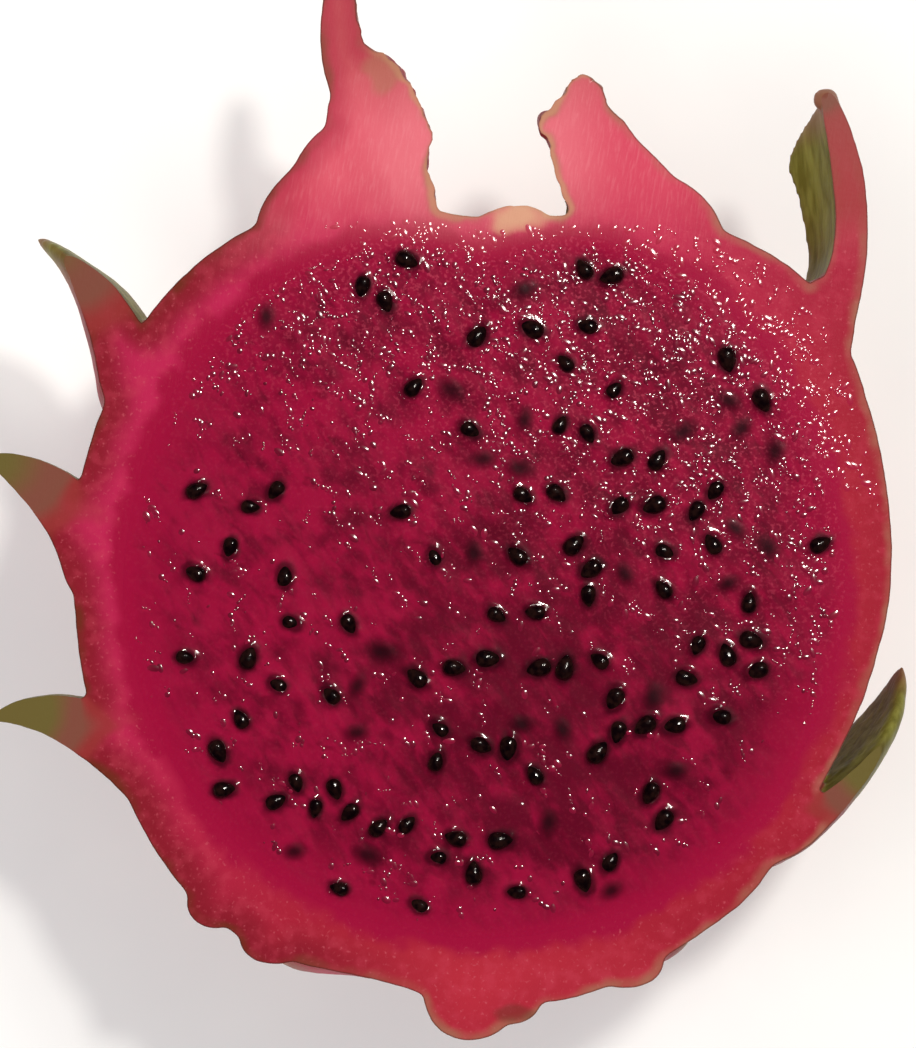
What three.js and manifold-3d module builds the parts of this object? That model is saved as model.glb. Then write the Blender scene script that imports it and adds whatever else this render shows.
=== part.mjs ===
// Half of a red-fleshed dragon fruit, cut lengthwise and lying on its back with the cut face up.
// Millimetres. +Z points up out of the cut face and +Y from the stem end to the blossom end.
// The origin lies on the small flat spot that the half rests on, below the middle of the cut face.
import * as THREE from "three";
import { mergeVertices } from "three/addons/utils/BufferGeometryUtils.js";
import Module from "manifold-3d";

const wasm = await Module();
wasm.setup();

// Driving dimensions

const CUT_HEIGHT = 48; // the cut face above the resting surface
const FLOOR_CLEARANCE = 0.3; // scales pressed by the surface stay this far above it
const PRESS_DEPTH = 2.5; // how gently they are pressed
const PEEL_TO_FLESH = 0.3; // play between the peel and the flesh
const SLAB = 200; // side of the block that trims the half to its cut face and resting spot

// Radii from the middle of the cut face, evenly spaced from the blossom end round to the stem end.
const BODY_RIGHT = [45.8, 47.8, 52.4, 54.2, 52.3, 50.4, 48.7, 47.2, 46.2, 47.2, 47.8, 48.9, 48.9];
const BODY_LEFT = [45.8, 48.6, 52.4, 52.8, 51.6, 50.2, 49.4, 49, 49, 50.2, 49.4, 47.4, 48.9];
const FLESH = [41.8, 45.2, 46, 45.6, 44.6, 43.7, 43.3, 42.7, 42.1, 41.7, 41.3, 40.8, 40.6];

const BODY_SIDES = 40;
const BODY_STEPS = 26;
const BLADE_SIDES = 8;
const BLADE_STEPS = 12;
const LUMP_SIDES = 10;
const LUMP_STEPS = 6;
const SEED_SIDES = 6;
const SEED_STEPS = 4;

// How the width of a scale runs along it: full from the root share on, then narrowing to the tip.
const ROOT_SHARE = 0.2;
const TIP_POWER = 1.7;
const CAP_POWER = 8;

// Scales met by the cut, each as a line of [distance from the axis, height along the axis] from its root
// in the peel to its tip, with its thickness along that line. Azimuth 0 is the right edge of the cut face,
// 90 the back of the fruit and 180 the left edge. Curl is how far full-width margins would bend in towards
// the fruit at the tip, less nearer the root, and widest is the share of the line after which the scale
// narrows.
const CUT_SCALES = [
  {
    azimuth: 174,
    line: [[43, 21], [43.3, 28.5], [46.4, 35.6], [50.6, 40.8], [54.6, 43.9]],
    thickness: [8, 8.4, 6.2, 2.8, 1],
    halfWidth: 8,
    curl: 1.6,
    widest: 0.5,
  },
  {
    azimuth: 179,
    line: [[46, 0], [47.4, 7], [51.4, 12.2], [56, 15.5], [60.2, 17.4]],
    thickness: [8.4, 8.6, 6.4, 3.8, 1],
    halfWidth: 9,
    curl: 1.6,
    widest: 0.5,
  },
  {
    azimuth: 179,
    line: [[37, -25], [43, -18.8], [49.2, -14.8], [55, -13.6], [60, -14.4]],
    thickness: [7, 7.2, 6.4, 3.9, 1],
    halfWidth: 9,
    curl: 1.6,
    widest: 0.5,
  },
  {
    azimuth: 2,
    line: [[40, 25], [41.7, 33], [44.1, 42], [43.8, 51], [41.3, 61.4]],
    thickness: [7, 5.6, 3.9, 3.8, 2],
    halfWidth: 9,
    curl: 6.4,
    widest: 0.8,
  },
  {
    azimuth: 10,
    line: [[29.8, -31.5], [37.5, -28], [44.8, -21.8], [49.8, -15], [52.2, -8]],
    thickness: [6, 5.6, 3.8, 2.4, 1],
    halfWidth: 10,
    curl: 1,
    widest: 0.5,
  },
];

// The crown round the navel: the two thick lobes that the cut passes through.
const CROWN_LOBES = [
  {
    azimuth: 178,
    line: [[17, 37], [15.8, 44.5], [14.4, 50.4], [13, 56], [14.2, 62], [17, 68], [17.3, 75.5]],
    thickness: [25, 23.4, 17.2, 13, 9.6, 5.6, 2.6],
    halfWidth: 12,
    curl: 0,
    widest: 0.3,
  },
  {
    azimuth: 2,
    line: [[20, 36], [18.6, 43.2], [16.6, 48], [13.8, 52.8], [11.7, 57.6], [11.8, 63.2]],
    thickness: [22, 20.5, 13.8, 10.8, 8.8, 4],
    halfWidth: 12,
    curl: 0,
    widest: 0.3,
  },
];

// Round swellings: the stem stub, the short basal scales, the broken rim of the navel and a scale's blunt
// tip. Places are [distance from the axis, height along it]; radii run outwards, along the axis and round it.
const LUMPS = [
  { azimuth: 180, at: [1.4, -47.4], radii: [5.9, 5.5, 5.9] },
  { azimuth: 0, at: [3.2, -48], radii: [3.8, 3.2, 4.4] },
  { azimuth: 178, at: [32.2, -36.2], radii: [3.6, 3.2, 9] },
  { azimuth: 178, at: [25, -40.8], radii: [4.4, 3, 9] },
  { azimuth: 2, at: [17, -43.6], radii: [4.6, 3.1, 9] },
  { azimuth: 176, at: [12, 61.6], radii: [2.2, 2.8, 3] },
  { azimuth: 176, at: [13.2, 64.3], radii: [1.7, 1.5, 2.5] },
  { azimuth: 4, at: [8.5, 57.4], radii: [1.9, 2.2, 3] },
  { azimuth: 0, at: [3.7, 45.2], radii: [4.4, 2.2, 4.2] },
  { azimuth: 2, at: [41.2, 60.2], radii: [1.5, 1.4, 1.5] },
];

// Scales on the back, in rings round the axis. Angles are in degrees: polar of the axil from the blossom
// end, azimuth of the first scale, step to the next and angle that the free blade spans. Flare is how far
// its tip stands off the body.
const RINGS = [
  { polar: 36, first: 52, step: 76, blade: 18, flare: 6 },
  { polar: 64, first: 36, step: 54, blade: 19, flare: 6 },
  { polar: 88, first: 62, step: 56, blade: 20, flare: 7 },
  { polar: 110, first: 90, step: 58, blade: 19, flare: 6 },
  { polar: 132, first: 60, step: 60, blade: 16, flare: 4 },
  { polar: 152, first: 32, step: 58, blade: 11, flare: 2.5 },
];
const LAST_AZIMUTH = 155;
const ANGLE_PLAY = 3;
const MIDDLE_FLARE = 0.45; // share of the flare reached halfway along the blade
const BACK_THICKNESS = [7, 6, 4.4, 2.6, 1];
const BACK_HALF_WIDTH = 9.5;
const BACK_CURL = 1.6;
const BACK_WIDEST = 0.5;
const ROOT_STATIONS = [[20, -4], [9, -2]]; // angle before the axil, depth under the skin
const AXIL_HEIGHT = 0.4;

// Seeds on the cut face, scattered by a seeded rule that keeps them apart.
const SEED_COUNT = 118;
const SEED_SIZE = [1.35, 0.92, 0.75]; // half length, half width, half height
const SEED_SPACING = 2.9;
const SEED_EDGE = 2.2; // seeds stay this far inside the flesh
const SEED_TAPER = 0.3;
const SEED_RISE = [-0.3, 0.2]; // middle of a seed, from the cut face
const SEED_PLAY = 0.15;
const SPARSE_CENTRE = [-27, 15];
const SPARSE_RADIUS = 21;
const SPARSE_CHANCE = 0.16;
const RANDOM_START = 20;

const PEEL_COLOUR = 0xc22a48;
const PEEL_ROUGHNESS = 0.45;
const FLESH_COLOUR = 0x96183f;
const FLESH_ROUGHNESS = 0.25;

// Small helpers

const radians = THREE.MathUtils.degToRad;

const curveOf = (values) => new THREE.SplineCurve(values.map((v, i) => new THREE.Vector2(i, v)));

const lineOf = (points) => new THREE.SplineCurve(points.map(([x, y]) => new THREE.Vector2(x, y)));

// Repeatable random numbers from 0 to 1.
function randomNumbers(start) {
  const multiplier = 1664525;
  const increment = 1013904223;
  const modulus = 2 ** 32;
  let state = start;
  return () => {
    state = (state * multiplier + increment) % modulus;
    return state / modulus;
  };
}

// A closed solid from a geometry whose shared vertices are merged.
function solidOf(geometry) {
  const bare = geometry.clone();
  bare.deleteAttribute("normal");
  bare.deleteAttribute("uv");
  const merged = mergeVertices(bare);
  return new wasm.Manifold(
    new wasm.Mesh({
      numProp: 3,
      vertProperties: merged.attributes.position.array,
      triVerts: new Uint32Array(merged.index.array),
    }),
  );
}

function geometryOf(solid) {
  const mesh = solid.getMesh();
  const geometry = new THREE.BufferGeometry();
  geometry.setAttribute("position", new THREE.BufferAttribute(mesh.vertProperties, 3));
  geometry.setIndex(new THREE.BufferAttribute(mesh.triVerts, 1));
  geometry.computeVertexNormals();
  return geometry;
}

// Moves each vertex of a unit sphere to the point that place gives for the vertex.
function sculpted(sides, steps, place) {
  const geometry = new THREE.SphereGeometry(1, sides, steps);
  const position = geometry.attributes.position;
  const vertex = new THREE.Vector3();
  for (let i = 0; i < position.count; i++) {
    vertex.fromBufferAttribute(position, i);
    position.setXYZ(i, ...place(vertex.normalize()).toArray());
  }
  return solidOf(geometry);
}

// A point at a distance from the fruit's axis, a height along it and an azimuth round it.
function aroundAxis(distance, height, azimuth) {
  return new THREE.Vector3(
    distance * Math.cos(azimuth),
    height,
    CUT_HEIGHT - distance * Math.sin(azimuth),
  );
}

// Eases a distance from the axis so that the point stays above the resting surface.
function pressed(distance, azimuth) {
  const slope = Math.sin(azimuth);
  if (slope <= 0) return distance;
  const eased = (CUT_HEIGHT - FLOOR_CLEARANCE) / slope - PRESS_DEPTH;
  const over = Math.max(0, distance - eased);
  return distance - over + PRESS_DEPTH * (1 - Math.exp(-over / PRESS_DEPTH));
}

// The body

const bodyRight = curveOf(BODY_RIGHT);
const bodyLeft = curveOf(BODY_LEFT);
const fleshCurve = curveOf(FLESH);

// The body's radius blends from the right outline to the left one round the back.
function bodyRadius(polar, azimuth) {
  const leftShare = (1 - Math.cos(azimuth)) / 2;
  const share = polar / Math.PI;
  return THREE.MathUtils.lerp(bodyRight.getPoint(share).y, bodyLeft.getPoint(share).y, leftShare);
}

const fleshRadius = (polar) => fleshCurve.getPoint(polar / Math.PI).y;

// A round solid whose radius depends on the polar angle and the azimuth.
function roundSolid(radiusAt) {
  return sculpted(BODY_SIDES, BODY_STEPS, (direction) => {
    const polar = Math.acos(THREE.MathUtils.clamp(direction.y, -1, 1));
    const azimuth = Math.atan2(-direction.z, direction.x);
    return direction.multiplyScalar(radiusAt(polar, azimuth)).add(new THREE.Vector3(0, 0, CUT_HEIGHT));
  });
}

// The scales

// Width of a scale along its length: it opens out of the peel, then narrows to a point.
function widthShare(share, widest) {
  const rise = Math.sqrt(Math.min(1, share / ROOT_SHARE));
  const fall = Math.max(0, (share - widest) / (1 - widest));
  return rise * (1 - fall ** TIP_POWER);
}

function scaleSolid({ azimuth, line, thickness, halfWidth, curl, widest }) {
  const centre = lineOf(line);
  const thick = curveOf(thickness);
  return sculpted(BLADE_SIDES, BLADE_STEPS, (direction) => {
    const share = Math.acos(THREE.MathUtils.clamp(direction.y, -1, 1)) / Math.PI;
    const around = Math.atan2(direction.z, direction.x);
    const middle = centre.getPoint(share);
    const along = centre.getTangent(share);
    const cap = Math.sqrt(Math.max(0, 1 - (2 * share - 1) ** CAP_POWER));
    const sideways = -halfWidth * widthShare(share, widest) * Math.cos(around);
    const bend = (curl * share * sideways ** 2) / halfWidth ** 2;
    const out = (thick.getPoint(share).y / 2) * cap * Math.sin(around) - bend;
    const turn = radians(azimuth) + sideways / middle.x;
    const distance = middle.x + along.y * out;
    return aroundAxis(pressed(distance, turn), middle.y - along.x * out, turn);
  });
}

// A rounded lump.
function lumpSolid({ azimuth, at: [distance, height], radii: [outRadius, alongRadius, sideRadius] }) {
  return sculpted(LUMP_SIDES, LUMP_STEPS, (direction) => {
    const { x, y, z } = direction;
    const point = new THREE.Vector3(x * outRadius, y * alongRadius, z * sideRadius);
    point.applyAxisAngle(new THREE.Vector3(0, 1, 0), radians(azimuth));
    return point.add(aroundAxis(distance, height, radians(azimuth)));
  });
}

// One scale on the back: rooted below the skin, leaving it at its axil and flaring towards its tip.
function backScale({ polar, blade, flare }, azimuth) {
  const stations = [
    ...ROOT_STATIONS.map(([before, depth]) => [polar + before, depth]),
    [polar, AXIL_HEIGHT],
    [polar - blade / 2, AXIL_HEIGHT + flare * MIDDLE_FLARE],
    [polar - blade, AXIL_HEIGHT + flare],
  ];
  const line = stations.map(([degrees, height]) => {
    const reach = bodyRadius(radians(degrees), radians(azimuth)) + height;
    return [reach * Math.sin(radians(degrees)), reach * Math.cos(radians(degrees))];
  });
  return scaleSolid({
    azimuth,
    line,
    thickness: BACK_THICKNESS,
    halfWidth: BACK_HALF_WIDTH,
    curl: BACK_CURL,
    widest: BACK_WIDEST,
  });
}

function backScales() {
  const random = randomNumbers(RANDOM_START);
  const scales = [];
  for (const ring of RINGS) {
    for (let azimuth = ring.first; azimuth < LAST_AZIMUTH; azimuth += ring.step) {
      scales.push(backScale(ring, azimuth + (2 * random() - 1) * ANGLE_PLAY));
    }
  }
  return scales;
}

// The seeds

// Where each seed lies on the cut face, which way it points and how it is sized.
function seedPlaces() {
  const random = randomNumbers(RANDOM_START);
  const places = [];
  while (places.length < SEED_COUNT) {
    const turn = 2 * Math.PI * random();
    const polar = turn < Math.PI ? turn : 2 * Math.PI - turn;
    const reach = (fleshRadius(polar) - SEED_EDGE) * Math.sqrt(random());
    const x = reach * Math.sin(turn);
    const y = reach * Math.cos(turn);
    const heading = 2 * Math.PI * random();
    const size = 1 + SEED_PLAY * (2 * random() - 1);
    const rise = THREE.MathUtils.lerp(SEED_RISE[0], SEED_RISE[1], random());
    const chance = random();
    const sparse = Math.hypot(x - SPARSE_CENTRE[0], y - SPARSE_CENTRE[1]) < SPARSE_RADIUS;
    const clear = places.every((p) => Math.hypot(p.x - x, p.y - y) > SEED_SPACING);
    if (clear && (!sparse || chance < SPARSE_CHANCE)) places.push({ x, y, heading, size, rise });
  }
  return places;
}

// A seed is an egg, narrower towards one end.
function seedSolid({ x, y, heading, size, rise }) {
  const [halfLength, halfWidth, halfHeight] = SEED_SIZE.map((s) => s * size);
  return sculpted(SEED_SIDES, SEED_STEPS, (direction) => {
    const narrow = 1 - SEED_TAPER * direction.y;
    const point = new THREE.Vector3(
      direction.x * halfWidth * narrow,
      direction.y * halfLength,
      direction.z * halfHeight * narrow,
    );
    point.applyAxisAngle(new THREE.Vector3(0, 0, 1), heading);
    return point.add(new THREE.Vector3(x, y, CUT_HEIGHT + rise));
  });
}

// Assembly

const half = solidOf(
  new THREE.BoxGeometry(SLAB, SLAB, CUT_HEIGHT).translate(0, 0, CUT_HEIGHT / 2),
);

function peelSolid() {
  const grown = [
    ...CUT_SCALES.map(scaleSolid),
    ...CROWN_LOBES.map(scaleSolid),
    ...LUMPS.map(lumpSolid),
    ...backScales(),
  ];
  const whole = wasm.Manifold.union([roundSolid(bodyRadius), ...grown]);
  const hollow = roundSolid((polar) => fleshRadius(polar) + PEEL_TO_FLESH);
  return whole.subtract(hollow).intersect(half);
}

function fleshSolid() {
  const pulp = roundSolid(fleshRadius).intersect(half);
  return wasm.Manifold.union([pulp, ...seedPlaces().map(seedSolid)]);
}

function piece(name, solid, colour, roughness) {
  const material = new THREE.MeshStandardMaterial({ color: colour, roughness, metalness: 0 });
  const mesh = new THREE.Mesh(geometryOf(solid), material);
  mesh.name = name;
  return mesh;
}

const dragonFruitHalf = new THREE.Group();
dragonFruitHalf.add(piece("peel", peelSolid(), PEEL_COLOUR, PEEL_ROUGHNESS));
dragonFruitHalf.add(piece("flesh", fleshSolid(), FLESH_COLOUR, FLESH_ROUGHNESS));

export default dragonFruitHalf;
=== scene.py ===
"""Dresses the halved dragon fruit: fine peel with its scales, wet seeded flesh and glossy seeds."""

import math

import bmesh
import bpy
import numpy as np
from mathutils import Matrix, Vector, kdtree, noise
from mathutils.geometry import delaunay_2d_cdt


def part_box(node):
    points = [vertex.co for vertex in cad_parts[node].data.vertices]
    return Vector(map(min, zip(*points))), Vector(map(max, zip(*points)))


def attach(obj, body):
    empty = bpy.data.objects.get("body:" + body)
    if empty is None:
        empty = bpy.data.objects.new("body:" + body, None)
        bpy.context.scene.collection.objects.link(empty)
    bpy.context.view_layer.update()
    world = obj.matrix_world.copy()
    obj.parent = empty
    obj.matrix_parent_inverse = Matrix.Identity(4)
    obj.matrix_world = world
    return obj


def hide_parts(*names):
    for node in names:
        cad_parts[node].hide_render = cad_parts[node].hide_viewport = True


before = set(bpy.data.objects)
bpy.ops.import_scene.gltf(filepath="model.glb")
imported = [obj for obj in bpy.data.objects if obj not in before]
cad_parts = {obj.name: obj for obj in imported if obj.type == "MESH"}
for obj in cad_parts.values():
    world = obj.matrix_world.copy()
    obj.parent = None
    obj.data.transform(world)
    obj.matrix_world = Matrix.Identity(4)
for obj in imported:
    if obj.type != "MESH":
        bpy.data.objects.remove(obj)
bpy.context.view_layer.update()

# Lengths below are millimetres unless a name says otherwise.
MM = 0.001
CUT = round(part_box("peel")[1].z / MM, 3)

# The form of the fruit, as in the solids, with a finer spike on the left crown lobe

BODY_RIGHT = [45.8, 47.8, 52.4, 54.2, 52.3, 50.4, 48.7, 47.2, 46.2, 47.2, 47.8, 48.9, 48.9]
BODY_LEFT = [45.8, 48.6, 52.4, 52.8, 51.6, 50.2, 49.4, 49, 49, 50.2, 49.4, 47.4, 48.9]
FLESH = [41.8, 45.2, 46, 45.6, 44.6, 43.7, 43.3, 42.7, 42.1, 41.7, 41.3, 40.8, 40.6]

FLOOR_CLEARANCE = 0.3
PRESS_DEPTH = 2.5
ROOT_SHARE = 0.2
TIP_POWER = 1.7
CAP_POWER = 8

# Scales met by the cut: azimuth, line of (distance from the axis, height along it), thickness along the
# line, half width, curl of the margins, share after which the scale narrows, and how green its tip is.
CUT_SCALES = [
    dict(azimuth=174, line=[(43, 21), (43.3, 28.5), (46.4, 35.6), (50.6, 40.8), (54.6, 43.9)],
         thickness=[8, 8.4, 6.2, 2.8, 1], half_width=8, curl=1.6, widest=0.5, green=0.8),
    dict(azimuth=179, line=[(46, 0), (47.4, 7), (51.4, 12.2), (56, 15.5), (60.2, 17.4)],
         thickness=[8.4, 8.6, 6.4, 3.8, 1], half_width=9, curl=1.6, widest=0.5, green=0.9),
    dict(azimuth=179, line=[(37, -25), (43, -18.8), (49.2, -14.8), (55, -13.6), (60, -14.4)],
         thickness=[7, 7.2, 6.4, 3.9, 1], half_width=9, curl=1.6, widest=0.5, green=1.6),
    dict(azimuth=2, line=[(40, 25), (41.7, 33), (44.1, 42), (43.8, 51), (41.3, 61.4)],
         thickness=[7, 5.6, 3.9, 3.8, 2], half_width=9, curl=6.4, widest=0.8, green=0.15),
    dict(azimuth=10, line=[(29.8, -31.5), (37.5, -28), (44.8, -21.8), (49.8, -15), (52.2, -8)],
         thickness=[6, 5.6, 3.8, 2.4, 1], half_width=10, curl=1, widest=0.5, green=4),
]

CROWN_LOBES = [
    dict(azimuth=178,
         line=[(17, 37), (15.8, 44.5), (14.4, 50.4), (13, 56), (14.2, 61.4), (17.1, 66.4), (17.3, 75.5)],
         thickness=[25, 23.4, 17.2, 13, 9.8, 5, 4.2], half_width=12, curl=0, widest=0.3, green=0),
    dict(azimuth=2, line=[(20, 36), (18.6, 43.2), (16.6, 48), (13.8, 52.8), (11.7, 57.6), (11.8, 63.2)],
         thickness=[22, 20.5, 13.8, 10.8, 8.8, 4], half_width=12, curl=0, widest=0.3, green=0),
]

# Round swellings: azimuth, place as (distance, height), radii outwards, along the axis and round it, and
# on a scale's tip its share along that scale and how green it is.
LUMPS = [
    (180, (1.4, -47.4), (5.9, 5.5, 5.9)),
    (0, (3.2, -48), (3.8, 3.2, 4.4)),
    (178, (32.2, -36.2), (3.6, 3.2, 9)),
    (178, (25, -40.8), (4.4, 3, 9)),
    (2, (17, -43.6), (4.6, 3.1, 9)),
    (176, (12, 61.6), (2.2, 2.8, 3)),
    (176, (13.2, 64.3), (1.7, 1.5, 2.5)),
    (4, (8.5, 57.4), (1.9, 2.2, 3)),
    (0, (3.7, 45.2), (4.4, 2.2, 4.2)),
    (2, (41.2, 60.2), (1.5, 1.4, 1.5), 1, 0.4),
]

# A soft filling in the axil of the upper right scale.
AXIL_FILLING = (2, (40.8, 36.9), (2, 1.7, 3.5))

# Scales on the back: polar angle of the axil, first azimuth, step, angle that the blade spans, flare.
RINGS = [
    (36, 52, 76, 18, 6),
    (64, 36, 54, 19, 6),
    (88, 62, 56, 20, 7),
    (110, 90, 58, 19, 6),
    (132, 60, 60, 16, 4),
    (152, 32, 58, 11, 2.5),
]
LAST_AZIMUTH = 155
ANGLE_PLAY = 3
MIDDLE_FLARE = 0.45
BACK_SCALE = dict(thickness=[7, 6, 4.4, 2.6, 1], half_width=9.5, curl=1.6, widest=0.5, green=1)
ROOT_STATIONS = [(20, -4), (9, -2)]
AXIL_HEIGHT = 0.4

SEED_COUNT = 118
SEED_SIZE = np.array([0.92, 1.35, 0.75])
SEED_SPACING = 2.9
SEED_EDGE = 2.2
SEED_TAPER = 0.3
SEED_RISE = (-0.3, 0.2)
SEED_PLAY = 0.15
SPARSE_CENTRE = (-27, 15)
SPARSE_RADIUS = 21
SPARSE_CHANCE = 0.16
RANDOM_START = 20

# How fine the meshes are

BODY_GRID = (120, 200)
BLADE_GRID = (44, 32)
LUMP_GRID = (16, 24)
SEED_GRID = (14, 20)
VOXEL = 0.42
SMOOTHING = 8
SPARE = 4  # the skin runs this far above the cut before it is trimmed
FLESH_GRID = 300
SECTION_STEP = 0.55
BOWL_RINGS = 10
BOWL_GAP = 0.3
SHARP_ANGLE = 50  # degrees past which an edge stays crisp

# Relief of the surfaces: height, size of its features and how many finer layers it has

SKIN_SWELL = (0.35, 14, 2)
SKIN_PORES = (0.07, 2.2, 3)
NAVEL_KNOBS = (0.75, 3.2, 3)
FLESH_SWELL = (0.2, 9, 2)
FLESH_FIBRES = (0.05, 1.6, 2)


def random_numbers(start):
    """Repeatable numbers from 0 to 1, by the rule of the solids."""
    state = start
    while True:
        state = (state * 1664525 + 1013904223) % 2**32
        yield state / 2**32


def spline(points, share):
    """A smooth curve through evenly spaced points; share runs from 0 to 1."""
    points = np.asarray(points, float)
    last = len(points) - 1
    place = np.clip(share, 0, 1) * last
    index = np.minimum(place.astype(int), last - 1)
    f = (place - index).reshape(place.shape + (1,) * (points.ndim - 1))
    p0, p1, p2, p3 = (points[np.clip(index + k, 0, last)] for k in (-1, 0, 1, 2))
    v0, v1 = (p2 - p0) / 2, (p3 - p1) / 2
    return (2 * (p1 - p2) + v0 + v1) * f**3 + (3 * (p2 - p1) - 2 * v0 - v1) * f**2 + v0 * f + p1


def smooth_step(low, high, value):
    t = np.clip((value - low) / (high - low), 0, 1)
    return t * t * (3 - 2 * t)


def around_axis(distance, height, azimuth):
    """Points at a distance from the fruit's axis, a height along it and an azimuth round it."""
    return np.stack([distance * np.cos(azimuth), height, CUT - distance * np.sin(azimuth)], -1)


def pressed(distance, azimuth):
    """Eases distances so that the points stay above the resting surface."""
    slope = np.maximum(np.sin(azimuth), 1e-6)
    eased = (CUT - FLOOR_CLEARANCE) / slope - PRESS_DEPTH
    over = np.maximum(0, distance - eased)
    return distance - over + PRESS_DEPTH * (1 - np.exp(-over / PRESS_DEPTH))


def body_radius(polar, azimuth):
    left = (1 - np.cos(azimuth)) / 2
    share = np.asarray(polar) / math.pi
    return spline(BODY_RIGHT, share) * (1 - left) + spline(BODY_LEFT, share) * left


def flesh_radius(polar):
    return spline(FLESH, np.abs(np.asarray(polar)) / math.pi)


def outside_flesh(points):
    """How far points on the cut face lie outside the flesh, negative within it."""
    x, y = points[:, 0], points[:, 1]
    return np.hypot(x, y) - flesh_radius(np.arctan2(np.abs(x), y))


# Skin


def grid(rows, columns):
    """Share along, angle around and faces of a closed grid that runs from pole to pole."""
    share, around = np.meshgrid(
        np.linspace(0, 1, rows + 1), np.arange(columns) * 2 * math.pi / columns, indexing="ij"
    )
    row, column = np.meshgrid(np.arange(rows), np.arange(columns), indexing="ij")
    following = (column + 1) % columns
    corners = [row * columns + column, row * columns + following]
    corners += [(row + 1) * columns + following, (row + 1) * columns + column]
    return share.ravel(), around.ravel(), np.stack(corners, -1).reshape(-1, 4)


def body_surface():
    share, around, faces = grid(*BODY_GRID)
    polar = share * math.pi
    radius = body_radius(polar, around)
    points = around_axis(radius * np.sin(polar), radius * np.cos(polar), around)
    nought = np.zeros(len(points))
    return points, faces, nought, nought, nought


def scale_surface(azimuth, line, thickness, half_width, curl, widest, green):
    """A scale's points, faces, share from root to tip, greenness and whether they face the fruit."""
    share, around, faces = grid(*BLADE_GRID)
    middle = spline(line, share)
    along = spline(line, share + 1e-4) - spline(line, share - 1e-4)
    along /= np.linalg.norm(along, axis=1, keepdims=True)
    rise = np.sqrt(np.minimum(1, share / ROOT_SHARE))
    fall = np.maximum(0, (share - widest) / (1 - widest))
    cap = np.sqrt(np.maximum(0, 1 - (2 * share - 1) ** CAP_POWER))
    sideways = -half_width * rise * (1 - fall**TIP_POWER) * np.cos(around)
    bend = curl * share * (sideways / half_width) ** 2
    out = spline(thickness, share) / 2 * cap * np.sin(around) - bend
    turn = math.radians(azimuth) + sideways / middle[:, 0]
    distance = pressed(middle[:, 0] + along[:, 1] * out, turn)
    points = around_axis(distance, middle[:, 1] - along[:, 0] * out, turn)
    facing = smooth_step(0.1, -0.3, np.sin(around))
    return points, faces, share, np.full(len(points), float(green)), facing


def lump_surface(azimuth, at, radii, along=0, green=0):
    share, around, faces = grid(*LUMP_GRID)
    polar = share * math.pi
    ball = np.stack([np.sin(polar) * np.cos(around), np.cos(polar), np.sin(polar) * np.sin(around)], -1)
    x, y, z = (ball * radii).T
    turn = math.radians(azimuth)
    outwards = x * math.cos(turn) + z * math.sin(turn)
    sideways = z * math.cos(turn) - x * math.sin(turn)
    points = np.stack([outwards, y, sideways], -1) + around_axis(at[0], at[1], turn)
    even = np.ones(len(points))
    return points, faces, even * along, even * green, even * 0


def back_scale(polar, blade, flare, azimuth):
    stations = [(polar + before, depth) for before, depth in ROOT_STATIONS]
    stations.append((polar, AXIL_HEIGHT))
    stations.append((polar - blade / 2, AXIL_HEIGHT + flare * MIDDLE_FLARE))
    stations.append((polar - blade, AXIL_HEIGHT + flare))
    line = []
    for degrees, height in stations:
        angle = math.radians(degrees)
        reach = float(body_radius(angle, math.radians(azimuth))) + height
        line.append((reach * math.sin(angle), reach * math.cos(angle)))
    return scale_surface(azimuth=azimuth, line=line, **BACK_SCALE)


def grown_surfaces():
    """Every closed surface that makes up the skin, before they grow together."""
    surfaces = [body_surface()]
    surfaces += [scale_surface(**scale) for scale in CUT_SCALES + CROWN_LOBES]
    surfaces += [lump_surface(*lump) for lump in LUMPS + [AXIL_FILLING]]
    draw = random_numbers(RANDOM_START)
    for polar, first, step, blade, flare in RINGS:
        for azimuth in np.arange(first, LAST_AZIMUTH, step):
            turned = azimuth + (2 * next(draw) - 1) * ANGLE_PLAY
            surfaces.append(back_scale(polar, blade, flare, turned))
    return surfaces


def new_mesh(name, points, faces):
    mesh = bpy.data.meshes.new(name)
    mesh.from_pydata(points.tolist(), [], faces.tolist() if hasattr(faces, "tolist") else faces)
    return mesh


def coordinates(mesh):
    values = np.empty(len(mesh.vertices) * 3, np.float32)
    mesh.vertices.foreach_get("co", values)
    return values.reshape(-1, 3).astype(float)


def normals(mesh):
    values = np.empty(len(mesh.vertices) * 3, np.float32)
    mesh.vertex_normals.foreach_get("vector", values)
    return values.reshape(-1, 3).astype(float)


def set_attribute(mesh, name, values):
    attribute = mesh.attributes.get(name) or mesh.attributes.new(name, "FLOAT", "POINT")
    attribute.data.foreach_set("value", np.asarray(values, np.float32))


def get_attribute(mesh, name):
    values = np.empty(len(mesh.vertices), np.float32)
    mesh.attributes[name].data.foreach_get("value", values)
    return values.astype(float)


def tree_of(points):
    tree = kdtree.KDTree(len(points))
    for i, point in enumerate(points):
        tree.insert(point, i)
    tree.balance()
    return tree


def noise_at(points, size, octaves):
    """Fractal noise of about -1 to 1 with features of a given size."""
    return np.array([noise.fractal(p, 1.0, 2.0, octaves) for p in (points / size).tolist()])


def relief(points, height, size, octaves):
    return height * noise_at(points, size, octaves)


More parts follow.
